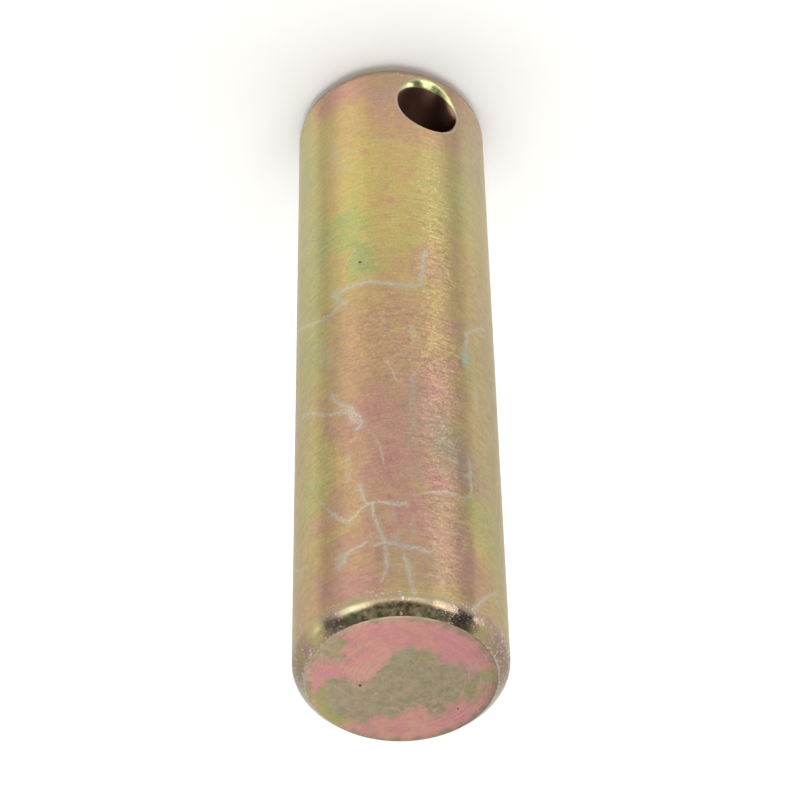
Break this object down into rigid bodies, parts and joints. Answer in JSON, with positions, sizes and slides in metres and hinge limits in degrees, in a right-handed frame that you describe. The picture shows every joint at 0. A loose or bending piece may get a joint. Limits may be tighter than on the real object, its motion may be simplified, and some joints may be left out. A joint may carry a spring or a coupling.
{
  "type": "pivot pin",
  "caption": "Headless cylindrical pivot pin with chamfered ends and a countersunk cross-hole close to its end.",
  "frame": {"origin": "centre of the face at the cross-hole's end, which the pin stands on", "axes": "+Z along the pin's axis, from the end with the cross-hole to the plain end; +X along the cross-hole's axis"},
  "size_m": [0.025, 0.025, 0.097],
  "materials": {
    "yellow_zinc_plate": "turned steel with worn, iridescent yellow-passivated zinc plate, satin"
  },
  "bodies": {
    "root": {"pivot_pin": "yellow_zinc_plate"}
  },
  "joints": []
}
